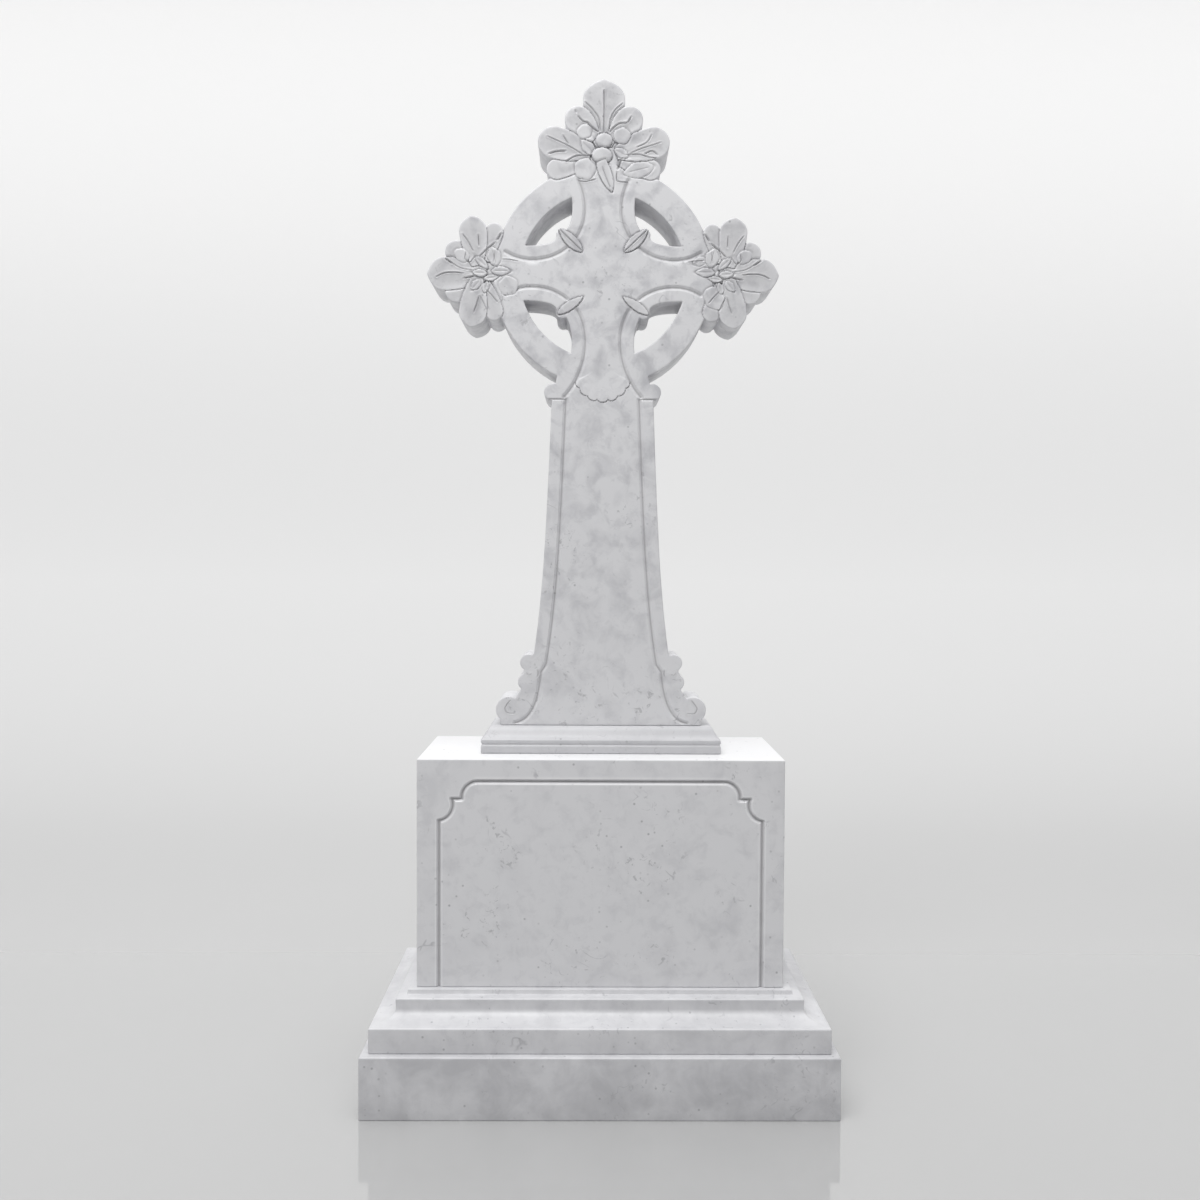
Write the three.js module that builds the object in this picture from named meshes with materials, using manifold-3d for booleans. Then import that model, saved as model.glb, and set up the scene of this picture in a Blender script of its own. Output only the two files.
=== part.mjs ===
// A ringed cross memorial of five pale stones, in millimetres, +Z up, its front facing -Y.
// The origin is on the ground, under the middle of the bottom slab.
import * as THREE from "three";
import { mergeVertices } from "three/addons/utils/BufferGeometryUtils.js";
import Module from "manifold-3d";

const wasm = await Module();
wasm.setup();

// The courses, from the ground up. Each ledge is the same on all four sides.
const joint = 0.3;
const arrisWidth = 2;
const slab = { width: 800, height: 106 };
const slabLedge = 13.5;
const fasciaHeight = 43;
const coveRun = 40;
const coveHeight = 18;
const bandHeight = 18;
const washHeight = 8;
const baseLedge = 30.5;
const block = { width: 632, depth: 270, height: 394 };
const foot = { width: 424, height: 47, band: 26, groove: 16, run: 23 };
const cross = { thickness: 104, shaftTop: 576, headCentre: 796 };

// The head: a ring crossed by two arms, with four openings between them.
const ring = { outer: 193.5, inner: 147 };
const arm = { upright: 56, level: 48, rise: 3.8 };
const cusp = { x: 71.5, z: 68, radius: 11.5, from: 125, to: -20 };

// Handles of an opening's two bent edges: along the upright, as [distance inside the edge,
// height], and along the level arm, as [distance from the middle, height over the edge].
const uprightHandles = [[-2, 118], [-2, 94]];
const levelHandles = [[84, 4], [108, 1]];
const groove = { width: 9, depth: 3.5 };

// The panel on the block's front, as distances from the block's sides and top.
const panel = { inset: 38, scoop: 27.7, ovolo: 28, groove: 8.5, depth: 5 };
const panelCorner = { scoopX: 34, scoopDrop: 78.6, stepX: 77, stepDrop: 68.3, ovoloX: 105, ovoloDrop: 66 };

// The shaft: half its width at the shoulders, and how far it spreads to the scrolls below.
const shaft = { neck: 90, slope: 18, flare: 12.6, scrollTop: 125, inset: 25, base: 179 };
const shoulder = { x: 88, drop: 204.6, radius: 15.5 };

const degree = Math.PI / 180;
const front = -cross.thickness / 2;
const back = cross.thickness / 2;

// Lobes of the carved leaf crowns, measured from the ring's centre: [base, tip, half width,
// place of the widest part as a share of the length, bluntness of the tip, lift].
// A bluntness of 0.5 is a round tip and 0.85 a pointed one. The side crowns spread evenly
// up and down from a line a little above the ring's centre.
const topLobes = [
  [[0, 225], [0, 342.5], 37, 0.7, 0.85, 3.5],
  [[14, 240], [62, 289], 24, 0.62, 0.5, 3],
  [[22, 214], [115, 240], 28, 0.7, 0.5, 3.5],
  [[26, 200], [100, 181], 18, 0.76, 0.5, 2.5],
];
const sideLobes = [
  [[206, -4], [310.5, -4], 29, 0.72, 0.85, 3.5],
  [[214, 9], [276, 44], 20, 0.72, 0.5, 3],
  [[222, 10], [233, 97.5], 24.5, 0.7, 0.75, 3.5],
  [[206, 18], [188, 85], 16, 0.76, 0.5, 2.5],
];
const crownRise = 6;
const leafDrop = 2.5;

// Round ground under each crown: [x, z, radius].
const topHeart = [0, 233, 48];
const sideHeart = [224, 6, 42];

// Petals and buds at the heart of each crown: [x, z, half width, half height, lift].
const topBuds = [
  [1.5, 237, 16, 13, 9],
  [-2, 211, 17, 13.5, 10],
  [-25, 230, 15, 15, 7],
  [33, 236, 16, 15, 7],
  [-30, 184, 20, 19, 6],
  [34, 205, 13, 11, 6],
  [60, 184, 25, 15, 5],
];
const sideBuds = [
  [222, 20, 12, 11, 8],
  [205, -4, 11, 9, 9],
  [228, -4, 10, 9, 9],
  [180, 6, 17, 9, 6],
  [198, 24, 17, 10, 6],
  [176, -24, 18, 17, 5],
  [214, -26, 14, 15, 6],
];

// Small leaves in the same terms: on each diagonal of the head, and hanging below the top crown.
const cuspSpear = [[84, 76], [36, 36], 11.5, 0.35, 0.8, 5.5];
const dropLeaf = [[-3, 200], [11, 152], 10, 0.4, 0.8, 5.5];

// Middle lines of the border grooves in one quarter of the head, each a start, two handles
// and an end: along the level arm, up the upright and, in the lower quarters, to the shoulder.
const levelLine = [[64, 45], [92, 21], [140, 16], [172, 37]];
const upperLine = [[46, 64], [24, 98], [32, 136], [44, 163]];
const lowerLine = [[46, 64], [20, 107], [28, 173], [68, 217]];

// The groove on the shaft leaves the edge at the scrolls: a start, two handles and an end.
const footLine = [[107, 95], [111, 52], [120, 10], [153, 4]];
const bendTop = 108;
const curl = { x: 165, z: 27, radius: 12 };

// The hanging shell where the shaft meets the head, as a fan of round scallops.
const shell = { z: 636, radius: 50, scallops: 7, spread: 122, half: 12, lift: 3 };

// The scrolls beside the foot of the shaft: [x, z, radius].
const scrolls = [
  [129.5, 112, 15],
  [132.5, 77.5, 15.8],
  [164.5, 28, 23],
];
const scrollBack = [
  [112, 140],
  [136, 108],
  [138, 96],
  [143, 63],
  [156, 44],
  [shaft.base, 14],
  [shaft.base, 0],
  [100, 0],
];

// Turns a closed geometry into a solid.
function solid(geometry) {
  const flat = geometry.clone();
  flat.deleteAttribute("normal");
  flat.deleteAttribute("uv");
  const merged = mergeVertices(flat, 1e-4);
  const triVerts = [];
  const index = merged.index.array;
  for (let i = 0; i < index.length; i += 3) {
    const [a, b, c] = [index[i], index[i + 1], index[i + 2]];
    if (a !== b && b !== c && c !== a) triVerts.push(a, b, c);
  }
  return new wasm.Manifold(
    new wasm.Mesh({
      numProp: 3,
      vertProperties: new Float32Array(merged.attributes.position.array),
      triVerts: new Uint32Array(triVerts),
    }),
  );
}

// A closed solid from corner positions and triangles.
function closed(points, faces) {
  const geometry = new THREE.BufferGeometry();
  geometry.setAttribute("position", new THREE.Float32BufferAttribute(points, 3));
  geometry.setIndex(faces);
  return solid(geometry);
}

// A stone whose plan is a rectangle at every height, drawn in by the inset of each level.
function tiered(width, depth, levels) {
  const points = [];
  for (const [inset, height] of levels) {
    const x = width / 2 - inset;
    const y = depth / 2 - inset;
    points.push(-x, -y, height, x, -y, height, x, y, height, -x, y, height);
  }
  const faces = [0, 2, 1, 0, 3, 2];
  for (let level = 0; level < levels.length - 1; level += 1) {
    for (let side = 0; side < 4; side += 1) {
      const a = level * 4 + side;
      const b = level * 4 + ((side + 1) % 4);
      faces.push(a, b, b + 4, a, b + 4, a + 4);
    }
  }
  const top = (levels.length - 1) * 4;
  faces.push(top, top + 1, top + 2, top, top + 2, top + 3);
  return closed(points, faces);
}

// Upright slice of a shape drawn in x and z, from y = near to y = far.
function plate(shape, near, far, segments = 12) {
  const slice = new THREE.ExtrudeGeometry(shape, {
    depth: far - near,
    bevelEnabled: false,
    curveSegments: segments,
  });
  slice.rotateX(Math.PI / 2);
  slice.translate(0, far, 0);
  return solid(slice);
}

function polygon(points) {
  return new THREE.Shape(points.map(([x, z]) => new THREE.Vector2(x, z)));
}

function disc(x, z, radius) {
  return new THREE.Shape().absarc(x, z, radius, 0, 2 * Math.PI);
}

// Points along a bent line given by its start, two handles and its end.
function curve([start, leave, arrive, end], steps) {
  const path = new THREE.Path();
  path.moveTo(...start);
  path.bezierCurveTo(...leave, ...arrive, ...end);
  return pathPoints(path, steps);
}

// Points of a path, with the given number of steps on each of its curves.
function pathPoints(path, steps) {
  return path.getPoints(steps).map((p) => [p.x, p.y]);
}

// A channel of triangular section sunk in the face along the points, in x and z.
function channel(points, width, depth, face) {
  const section = [
    [-1, -1],
    [-1, 0],
    [0, depth],
    [1, 0],
    [1, -1],
  ];
  const count = section.length;
  const corners = [];
  points.forEach(([x, z], i) => {
    const before = points[Math.max(i - 1, 0)];
    const after = points[Math.min(i + 1, points.length - 1)];
    const inward = new THREE.Vector2(x - before[0], z - before[1]).normalize();
    const outward = new THREE.Vector2(after[0] - x, after[1] - z).normalize();
    const along = inward.clone().add(outward).normalize();
    const reach = width / 2 / Math.max(along.dot(i ? inward : outward), 0.5);
    for (const [side, sunk] of section) {
      corners.push(x + along.y * reach * side, face + sunk, z - along.x * reach * side);
    }
  });
  const faces = [0, 1, 2, 0, 2, 3, 0, 3, 4];
  for (let i = 0; i < points.length - 1; i += 1) {
    for (let j = 0; j < count; j += 1) {
      const a = i * count + j;
      const b = i * count + ((j + 1) % count);
      faces.push(a, b + count, b, a, a + count, b + count);
    }
  }
  const end = (points.length - 1) * count;
  faces.push(end, end + 2, end + 1, end, end + 3, end + 2, end, end + 4, end + 3);
  return closed(corners, faces);
}

function mirrorX(piece) {
  return piece.mirror([1, 0, 0]);
}

function mirrorZ(piece) {
  return piece.mirror([0, 0, 1]);
}

// All pieces of a list as one.
function joined(pieces) {
  return pieces.reduce((all, piece) => all.add(piece));
}

// Half the width of a lobe at a share t of its length.
function lobeHalf(half, widest, blunt, t) {
  if (t < widest) return half * (1 - 0.2 * ((widest - t) / widest) ** 2);
  const rest = (t - widest) / (1 - widest);
  return half * Math.max(1 - rest ** (1.5 + blunt), 0) ** blunt;
}

// A lobe through the whole thickness; its face swells on both sides of a sunk midrib.
function lobe([base, tip, half, widest, blunt, lift]) {
  const along = [0, 0.4, widest, 0.86, 0.95, 1];
  const across = [-1, -0.55, 0, 0.55, 1];
  const swell = [0, 1, 0.4, 1, 0];
  const edge = front + leafDrop;
  const dx = tip[0] - base[0];
  const dz = tip[1] - base[1];
  const length = Math.hypot(dx, dz);
  const points = [];
  for (const depth of [0, 1]) {
    for (const t of along) {
      const width = lobeHalf(half, widest, blunt, t);
      const rise = lift * Math.min(1, 4 * (1 - t));
      across.forEach((s, j) => {
        const x = base[0] + dx * t - (dz / length) * width * s;
        const z = base[1] + dz * t + (dx / length) * width * s;
        points.push(x, depth ? back : edge - rise * swell[j], z);
      });
    }
  }
  const wide = across.length;
  const rear = along.length * wide;
  const faces = [];
  const quad = (a, b, c, d) => faces.push(a, c, b, a, d, c);
  for (let i = 0; i < along.length - 1; i += 1) {
    for (let j = 0; j < wide - 1; j += 1) {
      const a = i * wide + j;
      quad(a, a + 1, a + wide + 1, a + wide);
      quad(rear + a, rear + a + wide, rear + a + wide + 1, rear + a + 1);
    }
    const low = i * wide;
    const high = low + wide - 1;
    quad(low, low + wide, rear + low + wide, rear + low);
    quad(high, rear + high, rear + high + wide, high + wide);
  }
  for (let j = 0; j < wide - 1; j += 1) quad(j, rear + j, rear + j + 1, j + 1);
  return closed(points, faces);
}

// A low rounded boss standing on the face.
function bud([x, z, halfWidth, halfHeight, lift]) {
  const ball = new THREE.SphereGeometry(1, 10, 6);
  ball.scale(halfWidth, lift + 5, halfHeight);
  ball.translate(x, front + 5, z);
  return solid(ball);
}

// One of the four openings between arms and ring, with a small cusp on its diagonal.
function opening(rise) {
  const upper = Math.acos(arm.upright / ring.inner);
  const level = arm.level + rise;
  const lower = Math.asin(level / ring.inner);
  const shape = new THREE.Shape();
  shape.moveTo(ring.inner * Math.cos(upper), ring.inner * Math.sin(upper));
  const start = [
    cusp.x + cusp.radius * Math.cos(cusp.from * degree),
    cusp.z + rise + cusp.radius * Math.sin(cusp.from * degree),
  ];
  const [above, below] = uprightHandles;
  shape.bezierCurveTo(
    ...[arm.upright + above[0], above[1]],
    ...[arm.upright + below[0], below[1]],
    ...start,
  );
  shape.absarc(cusp.x, cusp.z + rise, cusp.radius, cusp.from * degree, cusp.to * degree, true);
  const end = [ring.inner * Math.cos(lower), ring.inner * Math.sin(lower)];
  const [near, far] = levelHandles;
  shape.bezierCurveTo(near[0], level + near[1], far[0], level + far[1], ...end);
  shape.absarc(0, 0, ring.inner, lower, upper, false);
  return plate(shape, front - 1, back + 1, 10);
}

// Half the shaft's width at a height above its foot.
function shaftHalf(height) {
  const t = (cross.shaftTop - height) / (cross.shaftTop - shaft.scrollTop);
  return shaft.neck + shaft.slope * t + shaft.flare * t ** 4;
}

// The shaft from its foot to the middle of the ring's lower edge.
function shaftBody() {
  const side = [];
  for (let height = 60; height < cross.shaftTop; height += 43) {
    side.push([shaftHalf(height), height]);
  }
  side.push([shaft.neck, cross.shaftTop], [79, 628]);
  const other = side.map(([x, z]) => [-x, z]).reverse();
  return plate(polygon([[110, 0], ...side, ...other, [-110, 0]]), front, back);
}

// Grooves beside one edge of the shaft, bent out at the shoulder and at the foot.
function shaftGrooves() {
  const line = [];
  for (let height = cross.shaftTop + 2; height > bendTop; height -= 43) {
    line.push([shaftHalf(height) - shaft.inset, height]);
  }
  line.push([shaftHalf(bendTop) - shaft.inset, bendTop], ...curve(footLine, 8));
  const top = [
    [shaft.neck + 4, cross.shaftTop + 3],
    [shaft.neck - shaft.inset, cross.shaftTop + 3],
  ];
  const hook = new THREE.Path();
  hook.absarc(curl.x, curl.z, curl.radius, 300 * degree, 70 * degree, true);
  return [
    channel(line, groove.width, groove.depth, front),
    channel(top, 5, groove.depth, front),
    channel(pathPoints(hook, 10), 4, groove.depth, front),
  ];
}

// The border grooves of one quarter of the head.
function headGrooves(lower) {
  return [levelLine, lower ? lowerLine : upperLine].map((line) =>
    channel(curve(line, 12), groove.width, groove.depth, front),
  );
}

// A small leaf on the diagonal, its point towards the middle of the head.
function cuspLeaf() {
  return lobe(cuspSpear).intersect(plate(disc(0, 0, ring.inner), front - 9, front + 9));
}

function ringedCross() {
  const openings = opening(arm.rise).add(mirrorZ(opening(-arm.rise)));
  let head = plate(disc(0, 0, ring.outer), front, back, 72);
  head = head.subtract(openings).subtract(mirrorX(openings));
  const crowns = topLobes.map(lobe);
  crowns.push(...topLobes.slice(1).map((row) => mirrorX(lobe(row))));
  const side = sideLobes.map(lobe);
  side.push(...sideLobes.slice(1).map((row) => mirrorZ(lobe(row))));
  const raised = side.map((piece) => piece.translate([0, 0, crownRise]));
  raised.push(plate(disc(...sideHeart), front + leafDrop + 1, back));
  crowns.push(...raised, ...raised.map(mirrorX));
  crowns.push(plate(disc(...topHeart), front + leafDrop + 1, back));
  const cuts = [];
  for (const lower of [false, true]) {
    for (const cut of headGrooves(lower)) {
      const placed = (lower ? mirrorZ(cut) : cut).translate([0, 0, arm.rise]);
      cuts.push(placed, mirrorX(placed));
    }
  }
  head = head.subtract(joined(cuts)).add(joined(crowns));
  const leaf = cuspLeaf();
  const leaves = leaf.add(mirrorX(leaf));
  const buds = topBuds.map(bud);
  for (const row of sideBuds) buds.push(bud(row), mirrorX(bud(row)));
  const drop = lobe(dropLeaf).intersect(plate(disc(0, 0, cross.headCentre), front - 9, front + 9));
  const rise = [0, 0, arm.rise];
  head = head.add(leaves.translate(rise)).add(mirrorZ(leaves).translate(rise)).add(joined(buds));
  head = head.add(drop).translate([0, 0, cross.headCentre]);

  const shoulderLobe = disc(shoulder.x, cross.headCentre - shoulder.drop, shoulder.radius);
  const flanks = [plate(shoulderLobe, front, back), plate(polygon(scrollBack), front, back)];
  for (const row of scrolls) flanks.push(plate(disc(...row), front, back));
  const flank = joined(flanks);
  let body = head.add(shaftBody()).add(flank).add(mirrorX(flank));
  const lines = joined(shaftGrooves());
  body = body.subtract(lines).subtract(mirrorX(lines));

  for (let i = 0; i < shell.scallops; i += 1) {
    const turn = (i / (shell.scallops - 1) - 0.5) * shell.spread * degree;
    const reach = shell.radius * (1 + 0.24 * Math.cos(turn));
    const x = Math.sin(turn) * (reach - shell.half);
    const z = shell.z - Math.cos(turn) * (reach - shell.half);
    body = body.add(bud([x, z, shell.half, shell.half, shell.lift]));
  }
  return body;
}

// The border of the block's front: up one side, round a stepped corner and along the top.
function panelLine() {
  const half = block.width / 2;
  const top = block.height;
  const corner = panelCorner;
  const x = half - panel.inset;
  const scoopZ = top - corner.scoopDrop;
  const line = new THREE.Path();
  line.moveTo(x, -30);
  line.lineTo(x, scoopZ - panel.scoop);
  line.absarc(half - corner.scoopX, scoopZ, panel.scoop, 262 * degree, 158 * degree, true);
  line.lineTo(half - corner.stepX, top - corner.stepDrop);
  const ovoloZ = top - corner.ovoloDrop;
  line.absarc(half - corner.ovoloX, ovoloZ, panel.ovolo, -4 * degree, 90 * degree, false);
  line.lineTo(-1, top - panel.inset);
  const points = [];
  for (const [px, pz] of pathPoints(line, 9)) {
    const last = points[points.length - 1];
    if (!last || Math.hypot(px - last[0], pz - last[1]) > 0.5) points.push([px, pz]);
  }
  return points;
}

function dieBlock() {
  const body = tiered(block.width, block.depth, [
    [0, 0],
    [0, block.height - arrisWidth],
    [arrisWidth, block.height],
  ]);
  const line = channel(panelLine(), panel.groove, panel.depth, -block.depth / 2);
  return body.subtract(line).subtract(mirrorX(line));
}

const bandWidth = block.width + 2 * baseLedge;
const bandDepth = block.depth + 2 * baseLedge;
const fasciaWidth = bandWidth + 2 * coveRun;
const fasciaDepth = bandDepth + 2 * coveRun;
const slabDepth = fasciaDepth + 2 * slabLedge;

function bottomSlab() {
  return tiered(slab.width, slabDepth, [
    [0, 0],
    [0, slab.height - arrisWidth],
    [arrisWidth, slab.height],
  ]);
}

// Plain fascia, a hollow that sweeps in and up, an upright band and a sloped wash.
function mouldedBase() {
  const levels = [
    [0, 0],
    [0, fasciaHeight - arrisWidth],
    [arrisWidth, fasciaHeight],
    [arrisWidth + 4, fasciaHeight + 0.5],
  ];
  const start = arrisWidth + 4;
  const steps = 9;
  for (let i = 1; i <= steps; i += 1) {
    const turn = (i / steps) * 90 * degree;
    const run = (coveRun - start) * Math.sin(turn);
    levels.push([start + run, fasciaHeight + 0.5 + coveHeight * (1 - Math.cos(turn))]);
  }
  const bandTop = fasciaHeight + coveHeight + bandHeight;
  levels.push([coveRun - 1, bandTop - arrisWidth], [coveRun + 1, bandTop]);
  levels.push([coveRun + 16, bandTop + 1], [coveRun + 18, bandTop + washHeight]);
  return tiered(fasciaWidth, fasciaDepth, levels);
}

// Two rounded bands and a curved weathering that rises to the bed of the cross.
function crossFoot() {
  const depth = cross.thickness + 2 * foot.run;
  const levels = [
    [arrisWidth, 0],
    [0, arrisWidth],
    [0, foot.groove - arrisWidth],
    [arrisWidth, foot.groove],
    [0, foot.groove + arrisWidth],
    [0, foot.band - arrisWidth],
    [arrisWidth, foot.band],
  ];
  const steps = 6;
  const run = foot.run - 6 - arrisWidth;
  for (let i = 1; i <= steps; i += 1) {
    const t = i / steps;
    const swing = t - Math.sin(2 * Math.PI * t) / (4 * Math.PI);
    levels.push([arrisWidth + run * t, foot.band + (foot.height - foot.band) * swing]);
  }
  return tiered(foot.width, depth, levels);
}

const baseHeight = fasciaHeight + coveHeight + bandHeight + washHeight;
const courses = [
  ["bottom_slab", bottomSlab(), slab.height],
  ["moulded_base", mouldedBase(), baseHeight],
  ["die_block", dieBlock(), block.height],
  ["cross_foot", crossFoot(), foot.height],
  ["ringed_cross", ringedCross(), 0],
];

const memorial = new THREE.Group();
let level = 0;
for (const [name, stone, height] of courses) {
  const made = stone.translate([0, 0, level]).getMesh();
  const geometry = new THREE.BufferGeometry();
  const corners = new Float32Array(made.numVert * 3);
  for (let i = 0; i < made.numVert; i += 1) {
    for (let k = 0; k < 3; k += 1) {
      corners[i * 3 + k] = made.vertProperties[i * made.numProp + k];
    }
  }
  geometry.setAttribute("position", new THREE.BufferAttribute(corners, 3));
  geometry.setIndex(new THREE.BufferAttribute(new Uint32Array(made.triVerts), 1));
  const material = new THREE.MeshStandardMaterial({
    color: 0xc9c9cc,
    roughness: 0.5,
    flatShading: true,
  });
  const mesh = new THREE.Mesh(geometry, material);
  mesh.name = name;
  memorial.add(mesh);
  level += height + joint;
}

export default memorial;
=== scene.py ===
"""A ringed cross memorial: five stones of pale honed marble.

Metres, +Z up, the carved front faces -Y. Shapes are worked out in millimetres and
turned into metres when a mesh is made.
"""

import math

import bpy
import numpy as np
from mathutils import Matrix, Vector, geometry, kdtree


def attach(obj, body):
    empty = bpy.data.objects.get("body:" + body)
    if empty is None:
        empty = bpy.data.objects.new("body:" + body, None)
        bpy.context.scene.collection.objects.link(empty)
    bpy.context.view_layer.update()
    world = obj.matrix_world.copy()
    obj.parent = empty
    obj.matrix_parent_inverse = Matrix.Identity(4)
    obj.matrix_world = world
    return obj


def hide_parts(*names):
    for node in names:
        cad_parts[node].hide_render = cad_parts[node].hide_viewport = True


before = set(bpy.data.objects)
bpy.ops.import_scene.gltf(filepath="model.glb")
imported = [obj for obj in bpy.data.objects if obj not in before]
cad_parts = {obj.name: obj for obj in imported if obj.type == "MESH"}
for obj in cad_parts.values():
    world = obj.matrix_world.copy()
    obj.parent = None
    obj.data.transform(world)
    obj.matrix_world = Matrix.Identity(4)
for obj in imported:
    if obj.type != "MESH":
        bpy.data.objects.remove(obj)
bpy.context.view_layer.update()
MM = 0.001


# Where the camera stands, in metres, and how it is turned aside, tipped down and rolled, in radians.
CAMERA_PLACE = (-0.0204, -2.1215, 0.924)
CAMERA_ASIDE, CAMERA_DOWN, CAMERA_ROLL = -0.00853, 0.03133, 0.00508
CAMERA_LENS = 34.94


def make_camera():
    """The camera stands in front of the middle, looks slightly down and leans a little."""
    data = bpy.data.cameras.new("camera")
    data.sensor_width = 36.0
    data.lens = CAMERA_LENS
    camera = bpy.data.objects.new("camera", data)
    level = Matrix.Rotation(math.pi / 2 - CAMERA_DOWN, 4, "X")
    turn = Matrix.Rotation(CAMERA_ASIDE, 4, "Z") @ level @ Matrix.Rotation(CAMERA_ROLL, 4, "Z")
    camera.location = CAMERA_PLACE
    camera.rotation_euler = turn.to_euler()
    bpy.context.scene.collection.objects.link(camera)
    bpy.context.scene.camera = camera


make_camera()

# Sizes of the solids that the carved surface follows, in millimetres.
SLAB_WIDTH, SLAB_HEIGHT, SLAB_LEDGE = 800, 106, 13.5
BASE_LEDGE = 30.5
BED = 0.3
FASCIA = 43
COVE_RUN, COVE_HEIGHT = 40, 18
BAND, WASH = 18, 8
BLOCK_WIDTH, BLOCK_DEPTH, BLOCK_HEIGHT = 632, 270, 394
PANEL_INSET, PANEL_WIDTH, PANEL_SUNK = 38, 8.5, 5
FOOT_WIDTH, FOOT_HEIGHT, FOOT_BAND, FOOT_RUN = 424, 47, 26, 23
THICK = 104
SHAFT_TOP, HEAD = 576, 796
RING_OUT, RING_IN = 193.5, 147
UPRIGHT, LEVEL_ARM, RISE = 56, 48, 3.8
CUSP = (71.5, 68, 11.5)
SHOULDER = (88, 591.4, 15.5)
GROOVE, SUNK = 9, 3.5
NECK, SLOPE, FLARE, SCROLL_TOP, INSET, SPREAD = 90, 18, 12.6, 125, 25, 179
SHOULDER_TOP = (79, 628)
SHELL_TOP, SHELL_RADIUS, SHELL_SPREAD, SHELL_FOLDS = 636, 50, 62, 9.6
GRID, EASE = 1.2, 2.0
FRONT, BACK = -THICK / 2, THICK / 2

# Lobes of the leaf crowns from the ring's centre, the lowest layer first: base, tip, half
# width, place of the widest part, bluntness of the tip.
TOP_LOBES = [
    ((0, 225), (0, 342.5), 37, 0.7, 0.85),
    ((14, 240), (62, 289), 24, 0.62, 0.5),
    ((26, 200), (100, 181), 18, 0.76, 0.5),
    ((22, 214), (115, 240), 28, 0.7, 0.5),
]
SIDE_LOBES = [
    ((214, 9), (276, 44), 20, 0.72, 0.5),
    ((206, 18), (188, 85), 16, 0.76, 0.5),
    ((206, -4), (310.5, -4), 29, 0.72, 0.85),
    ((222, 10), (233, 97.5), 24.5, 0.7, 0.75),
]
CROWN_RISE = 6
HEARTS = [(0, 233, 48), (224, 6, 42), (-224, 6, 42)]

# Petals and berries, the lowest first: x, z, half length, half width, turn in degrees, lift.
TOP_PETALS = [
    (62, 185, 27, 14, 14, 1.2),
    (-33, 186, 19, 18.5, 0, 1.8),
    (31, 214, 14, 8, -28, 1.4),
    (-34, 251, 14, 12, 30, 0.9),
    (-27, 223, 18, 10, -45, 1.8),
    (32, 244, 15, 14, 0, 1.5),
    (0.4, 236, 15, 12.5, 0, 4.4),
    (-3.2, 210, 18, 13.5, 0, 5.0),
]
SIDE_PETALS = [
    (249, 34, 14, 11, 35, 0.8),
    (192, 32, 17, 12, 75, 1.6),
    (224, -17, 12, 7, -50, 1.4),
    (207, -21, 11, 6, -75, 1.4),
    (214, 22, 15, 6.5, 42, 2.2),
    (181, 7, 17, 8, 0, 2.2),
    (198, -5, 13, 5.5, -8, 2.4),
    (217, 3.5, 13, 6.5, 4, 2.8),
]
LEFT_PETALS = [(167, -18.6, 17, 16.5, 0, 0.8)]
RIGHT_PETALS = [(196, -38, 21, 17, -60, 1.2), (170, 26, 13, 8, 20, 1.0)]

# Lines cut in the leaves: points, width, depth.
TOP_CUTS = [
    (((0, 322), (0.5, 290), (0, 250)), 4.2, 2.8),
    (((-33, 302), (-21, 291), (-9, 274), (-6, 252)), 3.6, 2.4),
    (((33, 300), (20, 289), (12, 274), (9, 254)), 3.2, 2.0),
    (((-50, 287), (-49, 284)), 5.0, 3.0),
    (((-45, 277), (-37, 269), (-29, 267), (-23, 260), (-9, 250)), 4.4, 3.4),
    (((48, 277), (41, 267), (29, 266), (19, 260), (10, 250)), 4.0, 3.0),
    (((-99, 242), (-63, 226), (-37, 211)), 3.2, 1.6),
    (((-72, 244), (-62, 229)), 3.4, 2.0),
    (((-96, 212), (-83, 216), (-67, 217)), 4.6, 3.4),
    (((84, 246), (76, 233), (58, 224)), 3.4, 1.8),
    (((72, 213), (85, 218), (95, 211)), 3.8, 2.6),
    (((101, 233), (64, 221), (46, 213)), 3.0, 1.4),
    (((-66, 199), (-56, 205), (-46, 209), (-21, 209)), 3.8, 2.8),
    (((104, 205), (80, 207), (62, 212), (40, 211)), 3.4, 2.2),
    (((31, 203), (28, 195), (25, 186)), 5.6, 4.0),
    (((23, 181), (23, 167), (28, 164), (42, 163)), 3.4, 2.2),
    (((-44, 166), (-32, 164), (-14, 168)), 3.6, 2.6),
]
SIDE_CUTS = [
    (((294, -4), (280, 2.5), (262, 4), (246, 2.5)), 3.6, 2.6),
    (((272, 24), (252, 12), (229, 8)), 3.0, 1.2),
    (((280, 29), (267, 20)), 4.6, 3.2),
    (((242, 39), (243, 28), (235, 22), (226, 32)), 3.0, 1.8),
    (((248, 71), (238, 58), (229, 41)), 3.2, 1.8),
    (((220, 70), (219, 50)), 3.4, 2.2),
    (((217, 33), (205, 45), (191, 56)), 4.0, 3.0),
    (((187, 61), (180, 72)), 5.0, 3.8),
    (((193, 22), (191, 42)), 2.8, 1.4),
    (((246, -6), (227, -2)), 4.4, 3.2),
    (((219, -38), (223, -52), (228, -66)), 3.4, 2.0),
    (((217, -36), (210, -50), (205, -61)), 3.0, 1.6),
    (((206, -26), (196, -36), (186, -48)), 3.2, 1.8),
    (((150, 24), (168, 27), (178, 27)), 3.0, 1.6),
]

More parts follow.
